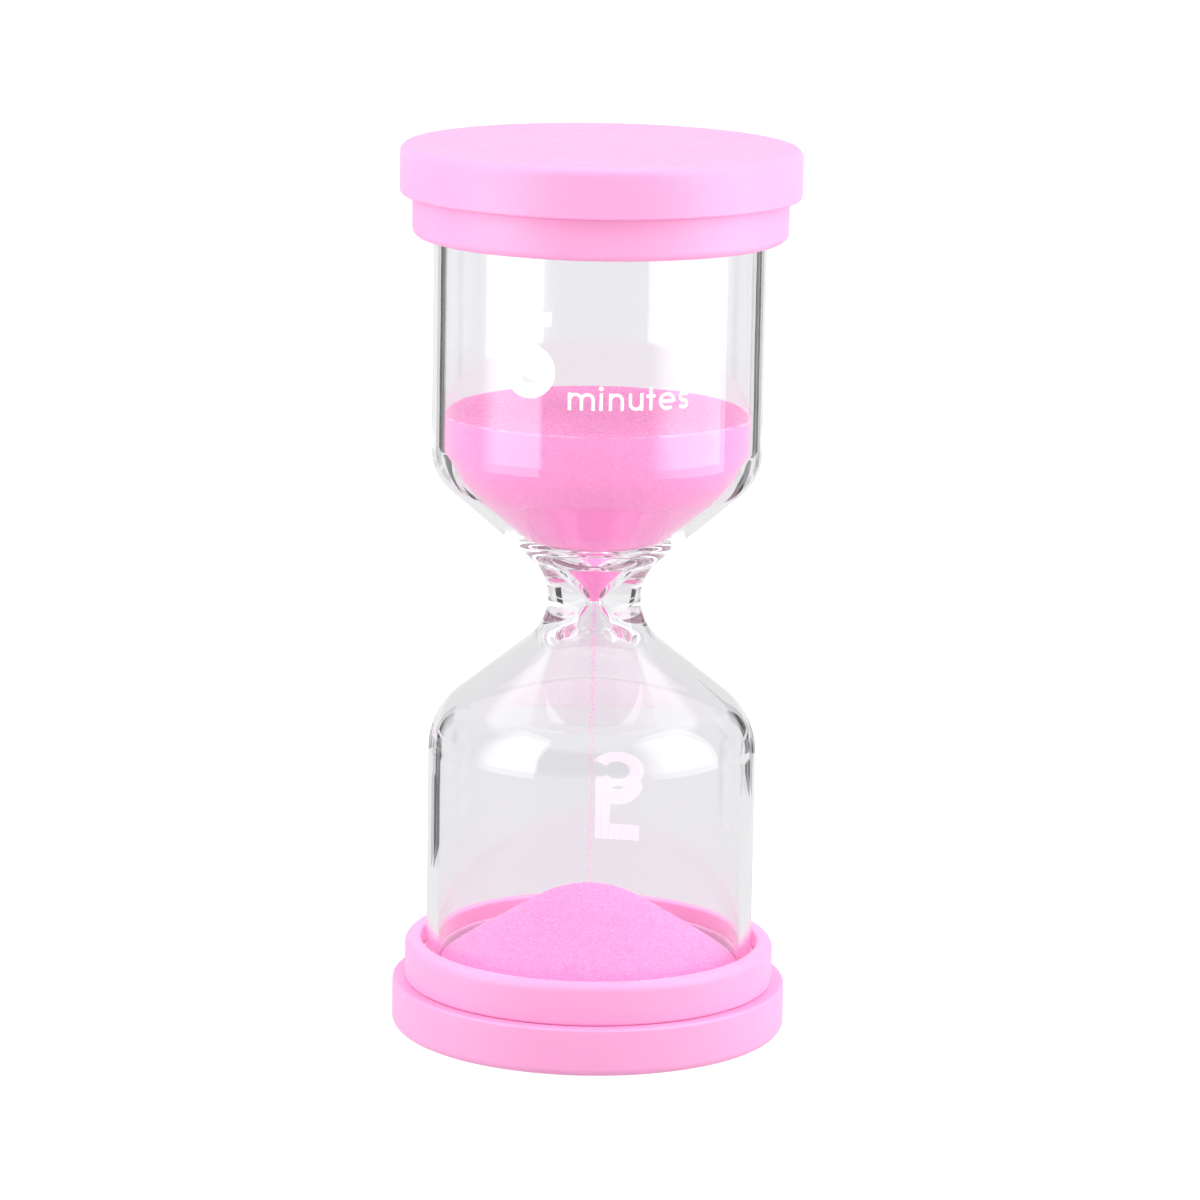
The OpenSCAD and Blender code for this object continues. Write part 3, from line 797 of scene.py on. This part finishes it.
def make_soft_pieces():
    """Pads, glue beads, stopper and seal: what the caps hide."""
    pad_low, pad_high = box_mm("bottom_pad")[0].z, box_mm("bottom_pad")[1].z
    foot = make_turned("bottom_pad_foam", disc_outline(PAD_R, pad_low, pad_high, 0.5), False,
                       "pad_foam", "bottom_pad", 3.0, 0.12, 1.0)
    washer = rounded_ring(PAD_HOLE, PAD_R, pad_low, pad_high, 0.5)
    head = make_turned("top_pad_foam", flipped(washer), True,
                       "pad_foam", "top_pad", 3.0, 0.12, 2.0)
    glue_low, glue_high = box_mm("bottom_glue_ring")[0].z, box_mm("bottom_glue_ring")[1].z
    bead = rounded_ring(GLASS_R + GLUE_GAP, COLLAR_BORE - GLUE_GAP, glue_low, glue_high, 0.25)
    for end, place, seed in (("bottom", lambda outline: outline, 3.0), ("top", flipped, 4.0)):
        make_turned(end + "_glue_bead", place(bead), True, "clear_glue",
                    end + "_glue_ring", 2.0, 0.06, seed)
    head_low, shelf = TOTAL - PLUG_TOP, TOTAL - GLASS_TOP
    inside, tip = shelf + END_THICK, TOTAL - PLUG_TIP
    stopper = ([(0, head_low)] + line((0.5, head_low), (PLUG_HEAD_R - STOPPER_EDGE, head_low), 4)
               + arc((PLUG_HEAD_R - STOPPER_EDGE, head_low + STOPPER_EDGE), STOPPER_EDGE, -90, 0, 5)
               + line((PLUG_HEAD_R, head_low + STOPPER_EDGE), (PLUG_HEAD_R, shelf))
               + line((PLUG_HEAD_R, shelf), (STEM_R, shelf))
               + line((STEM_R, shelf), (STEM_R, inside), 2)
               + line((STEM_R, inside), (STEM_R - STEM_TAPER, tip - TIP_EDGE))
               + arc((STEM_R - STEM_TAPER - TIP_EDGE, tip - TIP_EDGE), TIP_EDGE, 0, 90, 4)
               + line((STEM_R - STEM_TAPER - TIP_EDGE, tip), (0.5, tip), 3) + [(0, tip)])
    make_turned("filler_stopper", flipped(stopper), False, "stopper",
                "filler_plug", 1.5, 0.02, 5.0)
    fillet = (line((PLUG_HEAD_R, head_low), (PLUG_HEAD_R, shelf), 3)
              + line((PLUG_HEAD_R, shelf), (SEAL_R, shelf), 3)
              + arc((SEAL_R, head_low), SEAL_R - PLUG_HEAD_R, 90, 180, 8))[:-1]
    make_turned("stopper_seal", flipped(fillet), True, "clear_glue",
                "plug_seal", 1.5, 0.05, 6.0)


make_soft_pieces()


# ---- The rest of the CAD nodes, with their own finishes ----

for node in ("front_print", "back_print"):
    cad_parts[node].data.materials.clear()
    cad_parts[node].data.materials.append(LOOKS["white_ink"])


# ---- Stage, light and camera ----

def make_floor():
    bm = bmesh.new()
    bmesh.ops.create_circle(bm, cap_ends=True, segments=96, radius=FLOOR_R)
    mesh = bpy.data.meshes.new("floor")
    bm.to_mesh(mesh)
    bm.free()
    mesh.materials.append(pale_floor())
    floor = bpy.data.objects.new("floor", mesh)
    floor.location.z = -FLOOR_DROP
    bpy.context.scene.collection.objects.link(floor)


def make_card(name, away, x_low, x_high, z_low, z_high):
    """Dark card behind the timer and beside the view, which draws the edges of the glass. Millimetres."""
    bm = bmesh.new()
    corners = [(x_low, away, z_low), (x_high, away, z_low),
               (x_high, away, z_high), (x_low, away, z_high)]
    bm.faces.new([bm.verts.new(Vector(corner) * MM) for corner in corners])
    mesh = bpy.data.meshes.new(name)
    bm.to_mesh(mesh)
    bm.free()
    mesh.materials.append(dark_card())
    card = bpy.data.objects.new(name, mesh)
    bpy.context.scene.collection.objects.link(card)
    card.visible_camera = False
    card.visible_diffuse = False
    card.visible_shadow = False


def make_softbox(name, first, last):
    """Upright softbox beside the timer, from one bearing to another, in degrees from the camera's side.

    Its glow fades out towards the second bearing."""
    middle, half = math.radians((first + last) / 2), math.radians((last - first) / 2)
    wide = 2 * SOFTBOX_AWAY * math.tan(half)
    bm = bmesh.new()
    corners = [(-wide / 2, 0), (wide / 2, 0), (wide / 2, SOFTBOX_TALL), (-wide / 2, SOFTBOX_TALL)]
    bm.faces.new([bm.verts.new((x, 0, z)) for x, z in corners])
    mesh = bpy.data.meshes.new(name)
    bm.to_mesh(mesh)
    bm.free()
    mesh.materials.append(glowing_cloth(name + "_cloth", wide))
    panel = bpy.data.objects.new(name, mesh)
    panel.rotation_euler.z = middle
    panel.location = Vector((math.sin(middle), -math.cos(middle), 0)) * SOFTBOX_AWAY
    panel.visible_camera = False
    bpy.context.scene.collection.objects.link(panel)


def make_world():
    """Studio surroundings: an overhead dome, a white sweep behind and a dim room behind the camera."""
    world = bpy.data.worlds.new("studio")
    world.use_nodes = True
    bpy.context.scene.world = world
    tree = world.node_tree
    nodes, links = tree.nodes, tree.links
    background = nodes["Background"]
    direction = nodes.new("ShaderNodeTexCoord").outputs["Generated"]
    split = nodes.new("ShaderNodeSeparateXYZ")
    links.new(direction, split.inputs[0])
    x, y, z = split.outputs

    def math_node(operation, *values):
        node = nodes.new("ShaderNodeMath")
        node.operation = operation
        for socket, value in zip(node.inputs, values):
            if isinstance(value, (int, float)):
                socket.default_value = value
            else:
                links.new(value, socket)
        return node.outputs[0]

    def step(value, low, high):
        node = nodes.new("ShaderNodeMapRange")
        node.interpolation_type = "SMOOTHSTEP"
        links.new(value, node.inputs["Value"])
        node.inputs["From Min"].default_value = low
        node.inputs["From Max"].default_value = high
        return node.outputs["Result"]

    room = math_node("ADD", FRONT, math_node("MULTIPLY", step(y, -0.1, 0.2), BACK - FRONT))
    total = math_node("ADD", room, math_node("MULTIPLY", step(z, DOME_START, DOME_END), DOME))
    seen = nodes.new("ShaderNodeLightPath").outputs["Is Camera Ray"]
    shown = math_node("ADD", math_node("MULTIPLY", seen, BACKDROP),
                      math_node("MULTIPLY", math_node("SUBTRACT", 1, seen), total))
    links.new(shown, background.inputs["Strength"])
    background.inputs["Color"].default_value = (1, 1, 1, 1)


def make_camera():
    """The viewpoint: 0.58 m in front of the timer and 0.17 m up, looking slightly down."""
    camera = bpy.data.cameras.new("camera")
    camera.sensor_width = SENSOR
    camera.lens = LENS
    level = math.cos(PITCH)
    ahead = Vector((math.sin(YAW) * level, math.cos(YAW) * level, -math.sin(PITCH)))
    right = Vector((math.cos(YAW), -math.sin(YAW), 0))
    up = right.cross(ahead)
    turn = Matrix((right, up, -ahead)).transposed() @ Matrix.Rotation(ROLL, 3, "Z")
    eye = bpy.data.objects.new("camera", camera)
    eye.matrix_world = Matrix.Translation(EYE) @ turn.to_4x4()
    camera.clip_start = 0.01
    bpy.context.scene.collection.objects.link(eye)
    bpy.context.scene.camera = eye


make_floor()
make_card("left_card", 100, -112, -77, 28, 76)
make_card("right_card", 100, 60, 90, 28, 76)
make_card("low_left_card", 100, -112, -77, 0, 22)
make_card("near_left_card", 60, -72, -50, 0, 12)
make_card("low_right_card", 100, 60, 90, 0, 22)
make_softbox("softbox_left", -39, -90)
make_softbox("softbox_right", 97, 33)
make_world()
make_camera()

scene = bpy.context.scene
scene.view_settings.view_transform = "Standard"
scene.cycles.max_bounces = 80
scene.cycles.transmission_bounces = 60
scene.cycles.glossy_bounces = 60
scene.cycles.diffuse_bounces = 4
scene.cycles.use_denoising = True
